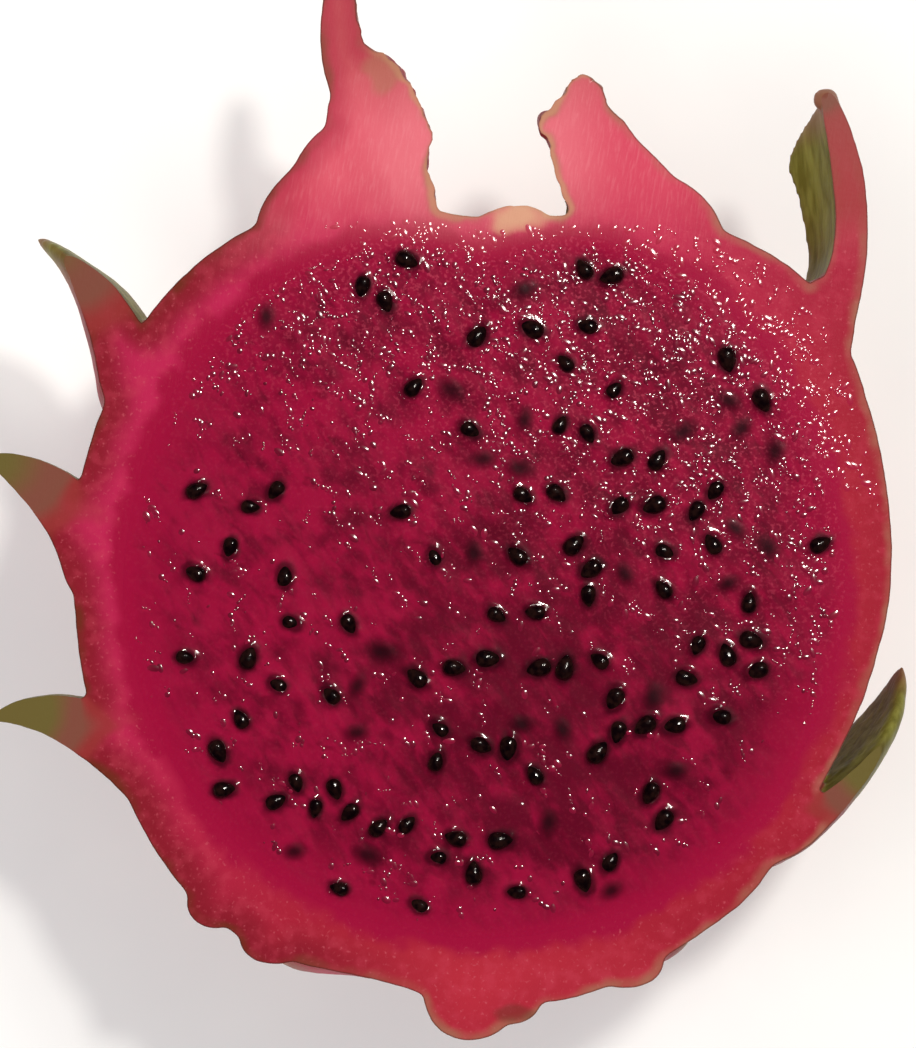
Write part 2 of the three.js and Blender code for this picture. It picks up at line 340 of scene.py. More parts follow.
def fused(surfaces):
    """The surfaces grown together into one fine skin with soft joins."""
    points, faces, start = [], [], 0
    for surface in surfaces:
        points.append(surface[0])
        faces.append(surface[1] + start)
        start += len(surface[0])
    points = np.concatenate(points)
    points[:, 2] = np.minimum(points[:, 2], CUT + SPARE)
    rough = bpy.data.objects.new("rough", new_mesh("rough", points, np.concatenate(faces)))
    bpy.context.scene.collection.objects.link(rough)
    remesh = rough.modifiers.new("grow", "REMESH")
    remesh.mode = "VOXEL"
    remesh.voxel_size = VOXEL
    soften = rough.modifiers.new("soften", "SMOOTH")
    soften.factor = 0.5
    soften.iterations = SMOOTHING
    evaluated = rough.evaluated_get(bpy.context.evaluated_depsgraph_get())
    mesh = bpy.data.meshes.new_from_object(evaluated)
    bpy.data.objects.remove(rough)
    return mesh


def mark_scales(mesh, surfaces):
    """Stores how far along a scale each skin point lies, how green it is and which side it faces."""
    sources, share, green, inside = (np.concatenate([s[k] for s in surfaces]) for k in (0, 2, 3, 4))
    tree = tree_of(sources)
    nearest = np.array([tree.find(p)[1] for p in coordinates(mesh).tolist()])
    blade = smooth_step(0.3, 1.0, share[nearest])
    set_attribute(mesh, "blade", spread(mesh, blade))
    set_attribute(mesh, "green", spread(mesh, green[nearest] * (blade > 0)))
    set_attribute(mesh, "inside", spread(mesh, inside[nearest] * (blade > 0), 3))


def spread(mesh, values, rounds=6):
    """Averages values with their neighbours along the mesh's edges."""
    edges = np.empty(len(mesh.edges) * 2, np.int32)
    mesh.edges.foreach_get("vertices", edges)
    a, b = edges.reshape(-1, 2).T
    count = np.bincount(a, minlength=len(values)) + np.bincount(b, minlength=len(values))
    for _ in range(rounds):
        total = np.bincount(a, values[b], len(values)) + np.bincount(b, values[a], len(values))
        values = (values + total / np.maximum(count, 1)) / 2
    return values


def roughen(mesh):
    """Gives the skin its low swellings and the broken rim of the navel its knobs."""
    points = coordinates(mesh)
    x, y, z = points.T
    swell = relief(points, *SKIN_SWELL) + relief(points, *SKIN_PORES)
    inside = smooth_step(20, 12, np.hypot(x, CUT - z)) * smooth_step(45, 50, y)
    knobs = relief(points + 31, *NAVEL_KNOBS)
    grip = smooth_step(0.5, 3, z)
    moved = points + normals(mesh) * ((swell + knobs * inside) * grip)[:, None]
    mesh.vertices.foreach_set("co", moved.astype(np.float32).ravel())
    mesh.update()


def trimmed(mesh):
    """Cuts the skin level at the cut face and flat at the resting spot, which is closed."""
    shape = bmesh.new()
    shape.from_mesh(mesh)
    cut_face = dict(plane_co=(0, 0, CUT), clear_outer=True)
    resting_spot = dict(plane_co=(0, 0, 0), clear_inner=True)
    for plane in (cut_face, resting_spot):
        everything = list(shape.verts) + list(shape.edges) + list(shape.faces)
        bmesh.ops.bisect_plane(shape, geom=everything, plane_no=(0, 0, 1), **plane)
    low = [e for e in shape.edges if e.is_boundary and max(v.co.z for v in e.verts) < 1]
    bmesh.ops.holes_fill(shape, edges=low, sides=0)
    bmesh.ops.triangulate(shape, faces=[f for f in shape.faces if len(f.verts) > 4])
    shape.to_mesh(mesh)
    shape.free()


# Cut face


def flesh_loop():
    """The edge of the flesh on the cut face, as the outer row of its grid."""
    points = flesh_disc()[0]
    return points[disc_rim()]


def disc_rim():
    side = FLESH_GRID + 1
    index = np.arange(side * side).reshape(side, side)
    return np.concatenate([index[0, :-1], index[:-1, -1], index[-1, :0:-1], index[:0:-1, 0]])


def flesh_disc():
    """An even grid over the flesh's cut face: flat points, faces and distance in from its edge."""
    steps = np.linspace(-1, 1, FLESH_GRID + 1)
    u, v = np.meshgrid(steps, steps, indexing="ij")
    wide = np.abs(u) > np.abs(v)
    radius = np.where(wide, u, v)
    safe = np.where(radius == 0, 1, radius)
    angle = np.where(wide, math.pi / 4 * v / safe, math.pi / 2 - math.pi / 4 * u / safe)
    x, y = (radius * np.cos(angle)).ravel(), (radius * np.sin(angle)).ravel()
    reach = np.hypot(x, y)
    full = flesh_radius(np.arctan2(np.abs(x), y))
    side = FLESH_GRID + 1
    i, j = np.meshgrid(np.arange(FLESH_GRID), np.arange(FLESH_GRID), indexing="ij")
    faces = np.stack([i * side + j, (i + 1) * side + j, (i + 1) * side + j + 1, i * side + j + 1], -1)
    points = np.stack([x * full, y * full, np.full(len(x), CUT)], -1)
    return points, faces.reshape(-1, 4), full * (1 - reach)


def bowl(loop, gap, start):
    """A closed bowl hung from a loop of points on the cut face; its faces start at an index."""
    points, faces = [], []
    count = len(loop)
    reach = np.hypot(loop[:, 0], loop[:, 1])
    grow = 1 + gap / reach
    depth = float(flesh_radius(math.pi / 2)) + gap
    ring = np.arange(count)
    above = ring
    for k in range(1, BOWL_RINGS):
        turn = math.pi / 2 * k / BOWL_RINGS
        flat = loop[:, :2] * (grow * math.cos(turn))[:, None]
        points.append(np.column_stack([flat, np.full(count, CUT - depth * math.sin(turn))]))
        below = start + (k - 1) * count + ring
        faces += np.stack([above, np.roll(above, -1), np.roll(below, -1), below], -1).tolist()
        above = below
    points.append(np.array([[0, 0, CUT - depth]]))
    pole = start + (BOWL_RINGS - 1) * count
    faces += [[int(a), int(b), pole] for a, b in zip(above, np.roll(above, -1))]
    return np.concatenate(points), faces


def inside_edges(points, starts, ends):
    """Which flat points lie inside the closed outline that the edges make."""
    inside = np.zeros(len(points), bool)
    for (x1, y1), (x2, y2) in zip(starts, ends):
        if y1 == y2:
            continue
        crosses = (points[:, 1] < y1) != (points[:, 1] < y2)
        inside ^= crosses & (points[:, 0] < x1 + (points[:, 1] - y1) * (x2 - x1) / (y2 - y1))
    return inside


def section_points(starts, ends, rims):
    """Evenly scattered points on the peel's part of the cut face, clear of its edges."""
    low, high = starts.min(0), starts.max(0)
    columns = np.arange(low[0], high[0], SECTION_STEP)
    rows = np.arange(low[1], high[1], SECTION_STEP * math.sqrt(3) / 2)
    x, y = np.meshgrid(columns, rows)
    x = x + (np.arange(len(rows)) % 2)[:, None] * SECTION_STEP / 2
    points = np.stack([x.ravel(), y.ravel()], -1)
    points = points[outside_flesh(points) > 0]
    points = points[inside_edges(points, starts, ends)]
    clear = [rims.find((p[0], p[1], 0))[2] > SECTION_STEP * 0.6 for p in points.tolist()]
    return points[np.array(clear)]


def section(skin, loop):
    """Triangles that close the peel between the skin's cut edge and the flesh."""
    points = coordinates(skin)
    level = np.abs(points[:, 2] - CUT) < 1e-3
    edges = np.empty(len(skin.edges) * 2, np.int32)
    skin.edges.foreach_get("vertices", edges)
    edges = edges.reshape(-1, 2)
    edges = edges[level[edges].all(1)]
    used, flat_edges = np.unique(edges, return_inverse=True)
    flat_edges = flat_edges.reshape(-1, 2)
    rim = points[used][:, :2]
    starts, ends = rim[flat_edges[:, 0]], rim[flat_edges[:, 1]]
    both = np.concatenate([rim, loop[:, :2]])
    rims = tree_of(np.column_stack([both, np.zeros(len(both))]))
    inner = section_points(starts, ends, rims)
    flat = np.concatenate([both, inner])
    ring = len(rim) + np.arange(len(loop))
    bounds = flat_edges.tolist() + np.stack([ring, np.roll(ring, -1)], -1).tolist()
    made = delaunay_2d_cdt([Vector(p) for p in flat.tolist()], bounds, [], 0, 1e-6)
    flat = np.array([tuple(p) for p in made[0]])
    faces = np.array([f for f in made[2] if len(f) == 3])
    middles = flat[faces].mean(1)
    faces = faces[(outside_flesh(middles) > 0) & inside_edges(middles, starts, ends)]
    return flat, faces, rim


def welded(points, faces, digits=3):
    """Merges points that lie on each other; returns points, faces and the old index of each point."""
    _, first, place = np.unique(np.round(points, digits), axis=0, return_index=True, return_inverse=True)
    place = place.ravel()
    kept = [[int(place[c]) for c in face] for face in faces]
    return points[first], kept, first


def peel_piece():
    surfaces = grown_surfaces()
    skin = fused(surfaces)
    mark_scales(skin, surfaces)
    roughen(skin)
    trimmed(skin)
    loop = flesh_loop()
    flat, ring_faces, rim = section(skin, loop)
    skin_points = coordinates(skin)
    skin_faces = [list(p.vertices) for p in skin.polygons]
    ring_points = np.column_stack([flat, np.full(len(flat), CUT)])
    ring_faces = (ring_faces + len(skin_points)).tolist()
    base = len(skin_points) + len(ring_points)
    bowl_points, bowl_faces = bowl(loop, BOWL_GAP, len(loop))
    bowl_points = np.concatenate([loop, bowl_points])
    bowl_faces = [[c + base for c in face[::-1]] for face in bowl_faces]
    points = np.concatenate([skin_points, ring_points, bowl_points])
    faces = skin_faces + ring_faces + bowl_faces
    slots = [0] * len(skin_faces) + [1] * (len(ring_faces) + len(bowl_faces))
    tree = tree_of(skin_points)
    near = [tree.find(p)[1] for p in ring_points.tolist()]
    marks = {}
    for name in ("blade", "green", "inside"):
        on_skin = get_attribute(skin, name)
        marks[name] = np.concatenate([on_skin, on_skin[near], np.zeros(len(bowl_points))])
    points, faces, first = welded(points, faces)
    mesh = new_mesh("peel_skin", points * MM, faces)
    mesh.polygons.foreach_set("material_index", slots)
    for name, values in marks.items():
        set_attribute(mesh, name, spread(mesh, values[first]))
    rims = tree_of(np.column_stack([rim, np.full(len(rim), CUT)]))
    set_attribute(mesh, "edge", [rims.find(p)[2] for p in points.tolist()])
    set_attribute(mesh, "inner", outside_flesh(points))
    return finished("peel_skin", mesh)


def finished(name, mesh):
    """Shades a mesh smooth with crisp cut edges and puts it in the scene."""
    mesh.polygons.foreach_set("use_smooth", [True] * len(mesh.polygons))
    mesh.set_sharp_from_angle(angle=math.radians(SHARP_ANGLE))
    mesh.validate()
    piece = bpy.data.objects.new(name, mesh)
    bpy.context.scene.collection.objects.link(piece)
    return piece


# Flesh and seeds


def seed_places():
    """Where each seed lies on the cut face, by the rule of the solids: x, y, heading, size, rise."""
    draw = random_numbers(RANDOM_START)
    places = []
    while len(places) < SEED_COUNT:
        turn = 2 * math.pi * next(draw)
        polar = turn if turn < math.pi else 2 * math.pi - turn
        reach = (float(flesh_radius(polar)) - SEED_EDGE) * math.sqrt(next(draw))
        x, y = reach * math.sin(turn), reach * math.cos(turn)
        heading = 2 * math.pi * next(draw)
        size = 1 + SEED_PLAY * (2 * next(draw) - 1)
        rise = SEED_RISE[0] + (SEED_RISE[1] - SEED_RISE[0]) * next(draw)
        chance = next(draw)
        sparse = math.hypot(x - SPARSE_CENTRE[0], y - SPARSE_CENTRE[1]) < SPARSE_RADIUS
        clear = all(math.hypot(p[0] - x, p[1] - y) > SEED_SPACING for p in places)
        if clear and (not sparse or chance < SPARSE_CHANCE):
            places.append((x, y, heading, size, rise))
    return places


SUNK_RISE = -0.16  # seeds lower than this lie under a film of flesh
FIBRE_TURN = 35  # degrees from +Y towards -X in which the fibres of the flesh run
FIBRE_STRETCH = 0.4
BEAD_GROUPS = 1700
BEAD_SIZE = (0.1, 0.42)  # radii of the juice beads
BEAD_STRETCH = (1.0, 2.2)
# Reach and height of a bead from its top to its foot, as shares of its radius.
BEAD_PROFILE = [(0, 0.18), (0.4, 0.15), (0.75, 0.08), (1, 0), (0, -0.12)]
BEAD_SIDES = 9
BEAD_FIELD = 52  # beads are tried this far to each side of the middle
DRY_SHARE = 0.16  # of the beads on the wettest part, how many the driest part has
SEED_REACH = 7  # a seed changes the flesh no further off than this


def seed_distance(points, place):
    """Distance from a seed on the cut face, as a share of its own outline."""
    x, y, heading, size, _ = place
    dx, dy = points[:, 0] - x, points[:, 1] - y
    across = dx * math.cos(heading) + dy * math.sin(heading)
    along = dy * math.cos(heading) - dx * math.sin(heading)
    return np.hypot(across / (SEED_SIZE[0] * size), along / (SEED_SIZE[1] * size))


def flesh_piece(places):
    points, faces, depth = flesh_disc()
    fade = smooth_step(0, 2.5, depth)
    turn = math.radians(FIBRE_TURN)
    across = points[:, 0] * math.cos(turn) + points[:, 1] * math.sin(turn)
    along = points[:, 1] * math.cos(turn) - points[:, 0] * math.sin(turn)
    fibre = np.stack([across, along * FIBRE_STRETCH, points[:, 2]], -1)
    swell = relief(points, *FLESH_SWELL) + relief(fibre, *FLESH_FIBRES)
    # Painted shade round each seed, where the dark seed darkens the translucent flesh beside it.
    seed_shade = np.zeros(len(points))
    sunk = np.zeros(len(points))
    lift = np.zeros(len(points))
    ragged = 1 + 0.6 * noise_at(points + 7, 0.9, 2)
    cover = smooth_step(-0.1, 0.5, noise_at(points + 19, 2.4, 2))
    for place in places:
        x, y, _, _, rise = place
        near = np.flatnonzero(np.hypot(points[:, 0] - x, points[:, 1] - y) < SEED_REACH)
        away = seed_distance(points[near], place)
        outside = np.maximum(0, away - 1)
        if rise < SUNK_RISE:
            lift[near] = np.maximum(lift[near], 0.08 * np.exp(-((away / 1.1) ** 4)))
            sunk[near] = np.maximum(sunk[near], 0.85 * np.exp(-((away / 0.85) ** 3)))
            seed_shade[near] = np.maximum(seed_shade[near], 0.6 * np.exp(-((outside / 0.5) ** 2)))
        else:
            film = (0.08 + 0.3 * cover[near]) * np.exp(-(((away - 0.95) / 0.42) ** 2))
            lift[near] = np.maximum(lift[near], film)
            seed_shade[near] = np.maximum(seed_shade[near], np.exp(-((outside / (0.42 * ragged[near])) ** 2)))
    points[:, 2] += swell * fade + lift
    rim = disc_rim()
    bowl_points, bowl_faces = bowl(points[rim], 0, len(rim))
    renumber = np.concatenate([rim, len(points) + np.arange(len(bowl_points))])
    bowl_faces = [[int(renumber[c]) for c in face] for face in bowl_faces]
    total = np.concatenate([points, bowl_points])
    mesh = new_mesh("flesh_pulp", total * MM, faces.tolist() + bowl_faces)
    extra = np.zeros(len(bowl_points))
    set_attribute(mesh, "seed_shade", np.concatenate([seed_shade, extra]))
    set_attribute(mesh, "sunk", np.concatenate([sunk, extra]))
    set_attribute(mesh, "depth", np.concatenate([depth, extra]))
    return finished("flesh_pulp", mesh)


def turned(x, y, z, heading):
    """Points turned about the vertical by a heading."""
    c, s = math.cos(heading), math.sin(heading)
    return np.column_stack([x * c - y * s, x * s + y * c, z])


def seeds_piece(places):
    share, around, faces = grid(*SEED_GRID)
    polar = share * math.pi
    ball = np.stack([np.sin(polar) * np.cos(around), np.cos(polar), np.sin(polar) * np.sin(around)], -1)
    narrow = 1 - SEED_TAPER * ball[:, 1] - 0.12 * ball[:, 1] ** 3
    egg = np.column_stack([ball[:, 0] * narrow, ball[:, 1], ball[:, 2] * narrow]) * SEED_SIZE
    points, all_faces = [], []
    shown = [p for p in places if p[4] >= SUNK_RISE]
    for k, (x, y, heading, size, rise) in enumerate(shown):
        points.append(turned(*egg.T, heading) * size + (x, y, CUT + rise))
        all_faces.append(faces + k * len(egg))
    points, faces, _ = welded(np.concatenate(points), np.concatenate(all_faces))
    faces = [list(dict.fromkeys(face)) for face in faces]
    return finished("seeds", new_mesh("seeds", points * MM, faces))


def bead_places(places):
    """Where beads of juice stand on the cut face, in short chains: x, y, heading, radius, stretch."""
    draw = random_numbers(RANDOM_START)
    beads = []
    groups = 0
    while groups < BEAD_GROUPS:
        x = 2 * BEAD_FIELD * next(draw) - BEAD_FIELD
        y = 2 * BEAD_FIELD * next(draw) - BEAD_FIELD
        wetness = DRY_SHARE + (1 - DRY_SHARE) * float(smooth_step(-6, 42, 0.45 * x + y))
        kept = next(draw) < wetness
        heading = math.radians(FIBRE_TURN + 100 * (next(draw) - 0.5))
        count = 1 + int(6 * next(draw) ** 2)
        if not kept or not on_cut_face(x, y, places):
            continue
        groups += 1
        for _ in range(count):
            radius = BEAD_SIZE[0] + (BEAD_SIZE[1] - BEAD_SIZE[0]) * next(draw) ** 2.5
            stretch = BEAD_STRETCH[0] + (BEAD_STRETCH[1] - BEAD_STRETCH[0]) * next(draw) ** 2
            beads.append((x, y, heading + 2 * (next(draw) - 0.5), radius, stretch))
            step = 1.6 * radius + 0.35 * next(draw)
            turn = heading + 1.8 * (next(draw) - 0.5)
            x, y = x - step * math.sin(turn), y + step * math.cos(turn)
    return [bead for bead in beads if on_cut_face(bead[0], bead[1], places)]


def on_cut_face(x, y, places):
    """Whether a place lies on the flesh, or on the wet upper right of the peel, clear of the seeds."""
    polar = np.array(math.atan2(abs(x), y))
    limit = flesh_radius(polar) - 1
    if 0.5 * x + y > 35:
        limit = body_radius(polar, 0 if x > 0 else math.pi) - 1.5
    if math.hypot(x, y) > limit:
        return False
    close = [place for place in places if math.hypot(place[0] - x, place[1] - y) < 3]
    spot = np.array([[x, y]])
    return all(seed_distance(spot, place)[0] > 1.2 for place in close)


def beads_piece(places, flesh):
    """Low beads of juice that stand on the flesh's own surface and on the peel beside it."""
    ground = coordinates(flesh.data) / MM
    ground = ground[ground[:, 2] > CUT - 1]
    tree = tree_of(np.column_stack([ground[:, :2], np.zeros(len(ground))]))
    share, around, faces = grid(len(BEAD_PROFILE) - 1, BEAD_SIDES)
    reach, rise = np.array(BEAD_PROFILE)[np.round(share * (len(BEAD_PROFILE) - 1)).astype(int)].T
    points, all_faces = [], []
    for k, (x, y, heading, radius, stretch) in enumerate(bead_places(places)):
        wide = reach * np.cos(around) * radius
        long = reach * np.sin(around) * radius * stretch
        _, index, away = tree.find((x, y, 0))
        height = ground[index, 2] if away < 1 else CUT
        points.append(turned(wide, long, rise * radius, heading) + (x, y, height))
        all_faces.append(faces + k * len(share))
    points, faces, _ = welded(np.concatenate(points), np.concatenate(all_faces), 4)
    faces = [list(dict.fromkeys(face)) for face in faces]
    mesh = new_mesh("juice_beads", points * MM, faces)
    set_attribute(mesh, "inner", outside_flesh(points))
    return finished("juice_beads", mesh)


# Materials


def colour(red, green, blue):
    """A colour given as it looks on screen, from 0 to 255, for a shader."""
    values = [v / 255 for v in (red, green, blue)]
    return [v / 12.92 if v <= 0.04045 else ((v + 0.055) / 1.055) ** 2.4 for v in values] + [1.0]


class Paint:
    """A material and short ways to write its nodes."""

    def __init__(self, name):
        self.material = bpy.data.materials.new(name)
        self.material.use_nodes = True
        self.tree = self.material.node_tree
        self.shader = self.tree.nodes["Principled BSDF"]
        self.place = self.node("ShaderNodeTexCoord").outputs["Object"]

    def node(self, kind, links=(), **settings):
        made = self.tree.nodes.new(kind)
        for key, value in settings.items():
            setattr(made, key, value)
        for socket, value in dict(links).items():
            self.feed(made.inputs[socket], value)
        return made

    def feed(self, socket, value):
        if isinstance(value, bpy.types.NodeSocket):
            self.tree.links.new(value, socket)
        else:
            socket.default_value = value

    def set(self, **inputs):
        for name, value in inputs.items():
            self.feed(self.shader.inputs[name.replace("_", " ")], value)

    def attribute(self, name):
        return self.node("ShaderNodeAttribute", attribute_name=name).outputs["Fac"]

    def noise(self, size, detail=3.0, stretch=None, turn=0.0, distortion=0.0):
        """Noise from 0 to 1 with features of a size in millimetres, stretched along a turned axis."""
        place = self.place
        if stretch:
            links = {"Vector": place, "Rotation": (0, 0, math.radians(turn)), "Scale": stretch}
            place = self.node("ShaderNodeMapping", links, vector_type="TEXTURE").outputs["Vector"]
        links = {"Vector": place, "Scale": 1 / (size * MM), "Detail": detail, "Distortion": distortion}
        return self.node("ShaderNodeTexNoise", links).outputs["Fac"]

    def maths(self, operation, a, b=0.0):
        return self.node("ShaderNodeMath", {0: a, 1: b}, operation=operation).outputs[0]

    def vector(self, operation, a, b=(0, 0, 0), result="Vector"):
        return self.node("ShaderNodeVectorMath", {0: a, 1: b}, operation=operation).outputs[result]

    def range(self, value, low, high, to_low=0.0, to_high=1.0):
        links = {"Value": value, "From Min": low, "From Max": high, "To Min": to_low, "To Max": to_high}
        return self.node("ShaderNodeMapRange", links, interpolation_type="SMOOTHSTEP").outputs["Result"]

    def mix(self, share, a, b):
        made = self.node("ShaderNodeMix", data_type="RGBA")
        for socket, value in ((made.inputs[0], share), (made.inputs[6], a), (made.inputs[7], b)):
            self.feed(socket, value)
        return made.outputs[2]

    def bump(self, height, distance):
        links = {"Height": height, "Strength": 1.0, "Distance": distance * MM}
        return self.node("ShaderNodeBump", links).outputs["Normal"]


RIM_RED = colour(143, 9, 50)


def crown_share(paint, distance):
    """How far the pink of the crown reaches, from the flesh's edge outwards near the navel end."""
    y = paint.node("ShaderNodeSeparateXYZ", {"Vector": paint.place}).outputs["Y"]
    return paint.maths("MULTIPLY", paint.range(y, 0.038, 0.053), paint.range(distance, -2.5, 4.0))


def crown_pink(paint):
    """The crown's pink, paler on the left lobe and towards the navel."""
    x = paint.node("ShaderNodeSeparateXYZ", {"Vector": paint.place}).outputs["X"]
    cloud = paint.noise(7, 2, stretch=(1, 2, 1), turn=15)
    pink = paint.mix(paint.range(x, -0.01, 0.012), colour(200, 82, 98), colour(192, 64, 86))
    pink = paint.mix(paint.range(cloud, 0.45, 0.7, 0, 0.6), pink, colour(182, 52, 74))
    inward = paint.range(paint.maths("ABSOLUTE", x), 0.018, 0.008, 0, 0.6)
    return paint.mix(inward, pink, colour(212, 112, 122))


def flesh_material():
    paint = Paint("wet_flesh")
    depth = paint.attribute("depth")
    where = paint.node("ShaderNodeSeparateXYZ", {"Vector": paint.place})
    blotch = paint.noise(4.5, 2)
    fibre = paint.noise(1.3, 3, stretch=(1, 2.4, 1), turn=FIBRE_TURN, distortion=0.5)
    wisp = paint.noise(1.9, 2, stretch=(1, 2.0, 1), turn=FIBRE_TURN + 30, distortion=0.5)
    grain = paint.noise(0.42, 2)
    tone = paint.maths("ADD", paint.maths("MULTIPLY", blotch, 0.6), paint.maths("MULTIPLY", fibre, 0.4))
    heart = paint.vector("DISTANCE", paint.place, (0.006, -0.012, CUT * MM), "Value")
    tone = paint.maths("ADD", tone, paint.range(heart, 0.004, 0.036, -0.08, 0.03))
    tone = paint.maths("ADD", tone, paint.maths("MULTIPLY", where.outputs["X"], -1.0))
    tone = paint.maths("ADD", tone, paint.range(where.outputs["Y"], 0.024, 0.038, 0.0, -0.06))
    base = paint.mix(paint.range(tone, 0.34, 0.66), colour(88, 3, 29), colour(138, 9, 49))
    base = paint.mix(paint.range(wisp, 0.6, 0.76, 0.0, 0.5), base, colour(78, 0, 22))
    ragged = paint.maths("ADD", depth, paint.range(blotch, 0.3, 0.7, -2.5, 2.5))
    base = paint.mix(paint.range(ragged, 0.0, 7.0, 0.8, 0.0), base, RIM_RED)
    base = paint.mix(paint.range(depth, 2.2, 0.0), base, RIM_RED)
    # Pale specks, denser towards the upper right: partly the flesh's own grain, partly painted glints
    # where the wet face catches the lamps.
    wet_lit_side = paint.maths("ADD", paint.maths("MULTIPLY", where.outputs["X"], 0.45), where.outputs["Y"])
    most_specks_and_glints = paint.range(wet_lit_side, -0.006, 0.042, 0.06, 0.5)
    specks_and_glints = paint.maths("MULTIPLY", paint.range(grain, 0.5, 0.72), most_specks_and_glints)
    base = paint.mix(specks_and_glints, base, colour(176, 58, 82))
    crown = crown_share(paint, paint.maths("MULTIPLY", depth, -1.0))
    base = paint.mix(crown, base, crown_pink(paint))
    # Painted shade round the seeds.
    base = paint.mix(paint.maths("MULTIPLY", paint.attribute("seed_shade"), 0.8), base, colour(38, 1, 11))
    base = paint.mix(paint.attribute("sunk"), base, colour(26, 2, 9))
    film = paint.bump(fibre, 0.03)
    paint.set(Base_Color=base, Roughness=0.45, IOR=1.36, Specular_IOR_Level=0.1, Normal=film)
    paint.set(Coat_Weight=1.0, Coat_Roughness=0.08, Coat_IOR=1.36, Coat_Normal=film)
    paint.set(Subsurface_Weight=0.1, Subsurface_Radius=(1.0, 0.16, 0.28), Subsurface_Scale=1.5 * MM)
    return paint.material


def bead_material():
    paint = Paint("juice_bead")
    inner = paint.attribute("inner")
    base = paint.mix(paint.range(paint.noise(3, 2), 0.3, 0.7), colour(92, 5, 32), colour(126, 10, 46))
    base = paint.mix(paint.range(inner, -3.0, 1.0), base, colour(152, 26, 54))
    base = paint.mix(crown_share(paint, inner), base, crown_pink(paint))
    paint.set(Base_Color=base, Roughness=0.4, IOR=1.5, Specular_IOR_Level=0.1)
    paint.set(Coat_Weight=1.0, Coat_Roughness=0.15, Coat_IOR=1.75)
    return paint.material


# Corky patches on the cut face: place, reach across and along, strength and colour.
SCARS = [
    ((4.2, 46.1), (4.6, 2.2), 0.85, (196, 150, 120)),
    ((-12.4, 63.4), (2.6, 2.6), 0.5, (152, 104, 80)),
    ((3.9, -49.6), (2.6, 1.2), 0.5, (84, 44, 30)),
]


def section_material():
    paint = Paint("cut_peel")
    inner, edge = paint.attribute("inner"), paint.attribute("edge")
    where = paint.node("ShaderNodeSeparateXYZ", {"Vector": paint.place})
    x, y = where.outputs["X"], where.outputs["Y"]
    blotch = paint.noise(5.0, 2)
    grain = paint.noise(0.5, 2)
    fibre = paint.noise(0.3, 3, stretch=(1, 8, 1), turn=-10, distortion=0.4)
    ragged = paint.maths("ADD", edge, paint.range(blotch, 0.3, 0.7, -0.4, 0.4))
    crown = crown_share(paint, inner)
    upper_left = paint.range(paint.maths("SUBTRACT", y, x), -0.03, 0.05)
    west = paint.range(x, 0.0, -0.03)
    band = paint.mix(upper_left, colour(150, 28, 46), colour(170, 31, 72))
    band = paint.mix(paint.range(y, -0.038, -0.046), band, colour(166, 38, 54))
    uneven = paint.maths("ADD", inner, paint.range(blotch, 0.3, 0.7, -0.8, 0.8))
    base = paint.mix(paint.range(uneven, 0.5, 2.6), RIM_RED, band)
    dull = paint.maths("MULTIPLY", paint.range(ragged, 5.5, 1.2), paint.range(west, 0, 1, 0.2, 1))
    base = paint.mix(dull, base, colour(124, 22, 37))
    patches = paint.range(paint.noise(1.7, 3), 0.45, 0.7, 0, 0.24)
    mottle = paint.maths("MULTIPLY", patches, paint.range(inner, 0.5, 3))
    base = paint.mix(mottle, base, colour(184, 60, 80))
    # Pale specks on the peel's cut face: partly its own specks, partly painted glints.
    speck_and_glint_dots = paint.range(grain, 0.58, 0.78, 0, 0.45)
    specks = paint.maths("MULTIPLY", speck_and_glint_dots, paint.range(inner, 0.0, 2.0))
    base = paint.mix(specks, base, colour(190, 84, 96))
    base = paint.mix(crown, base, crown_pink(paint))
    streaks = paint.maths("MULTIPLY", crown, paint.range(fibre, 0.45, 0.75, 0, 0.16))
    base = paint.mix(streaks, base, colour(226, 146, 152))
    spike = paint.maths("MULTIPLY", crown, paint.range(y, 0.055, 0.069, 0, 0.7))
    base = paint.mix(spike, base, colour(160, 74, 72))
    outer = paint.range(ragged, 4.0, 0.5, 0, 0.7)
    flank = paint.maths("MULTIPLY", outer, paint.range(x, -0.008, -0.016))
    base = paint.mix(paint.maths("MULTIPLY", flank, crown), base, colour(158, 40, 62))
    green = paint.maths("MULTIPLY", paint.attribute("blade"), paint.attribute("green"))
    body = paint.range(green, 0.25, 0.02)
    side = paint.mix(west, colour(146, 98, 78), colour(92, 40, 20))
    patchy = paint.maths("MULTIPLY", body, paint.range(paint.noise(6, 2), 0.35, 0.65, 0.3, 1))
    rim = paint.maths("MULTIPLY", paint.range(ragged, 1.3, 0.0, 0, 0.8), patchy)
    base = paint.mix(rim, base, side)
    base = paint.mix(paint.range(green, 0.01, 0.08, 0, 0.8), base, colour(134, 46, 44))
    base = paint.mix(paint.range(green, 0.08, 0.25), base, colour(115, 66, 54))
    base = paint.mix(paint.range(green, 0.35, 0.8), base, colour(96, 84, 43))
    line = paint.maths("MULTIPLY", paint.range(edge, 0.25, 0.0, 0, 0.7), body)
    base = paint.mix(line, base, colour(58, 30, 20))
    away = paint.maths("ABSOLUTE", x)
    navel = paint.maths("MULTIPLY", paint.range(away, 0.011, 0.015, 1, 0), paint.range(y, 0.043, 0.048))
    margin = paint.maths("MULTIPLY", navel, paint.range(ragged, 0.8, 0.1, 0, 0.7))
    base = paint.mix(margin, base, colour(178, 126, 98))
    for centre, radii, most, tint in SCARS:
        base = paint.mix(scar_share(paint, centre, radii, most, blotch), base, colour(*tint))
    film = paint.bump(paint.maths("ADD", fibre, paint.noise(0.6, 3)), 0.05)
    paint.set(Base_Color=base, Roughness=0.45, IOR=1.4, Specular_IOR_Level=0.1, Normal=film)
    paint.set(Coat_Weight=0.35, Coat_Roughness=0.12)
    return paint.material


